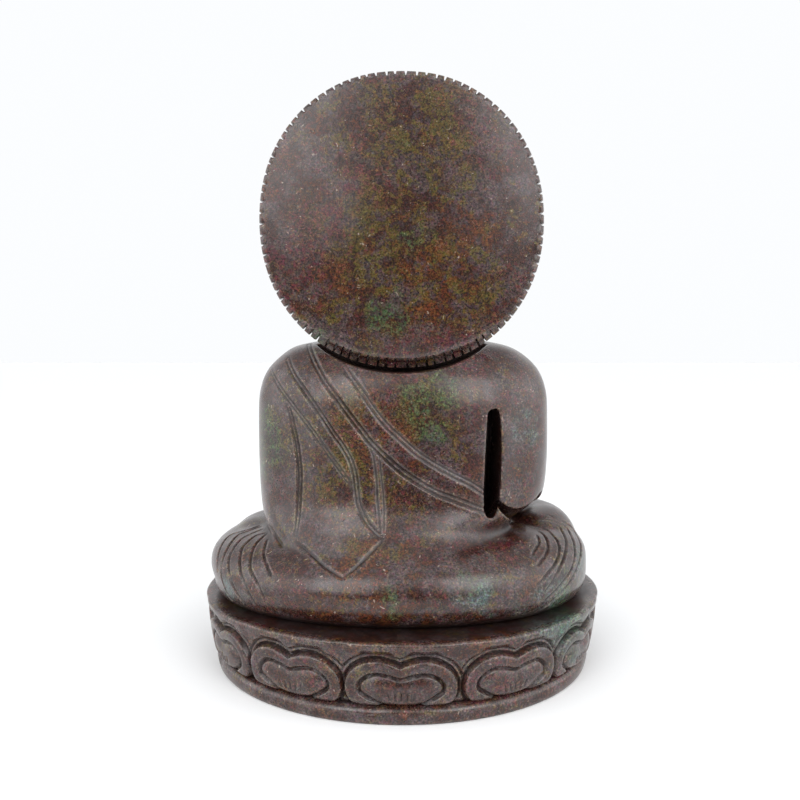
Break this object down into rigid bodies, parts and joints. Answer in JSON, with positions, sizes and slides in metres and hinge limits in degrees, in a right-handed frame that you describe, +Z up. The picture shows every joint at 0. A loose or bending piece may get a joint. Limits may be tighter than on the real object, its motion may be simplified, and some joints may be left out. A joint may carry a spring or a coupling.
{
  "type": "buddha statuette",
  "caption": "Stone statuette of a seated meditating figure in a draped robe, with a round notched halo, on an oval lotus base.",
  "frame": {"origin": "middle of the bounding box on the flat underside of the base", "axes": "+Z up, the figure's face looks towards -Y and the back of the halo towards +Y, +X is the figure's left"},
  "size_m": [0.1604, 0.1344, 0.2319],
  "materials": {
    "mottled_stone": "softly polished mottled stone, purple-brown with olive, orange-brown and green patches"
  },
  "bodies": {
    "root": {"statuette": "mottled_stone"}
  },
  "joints": []
}
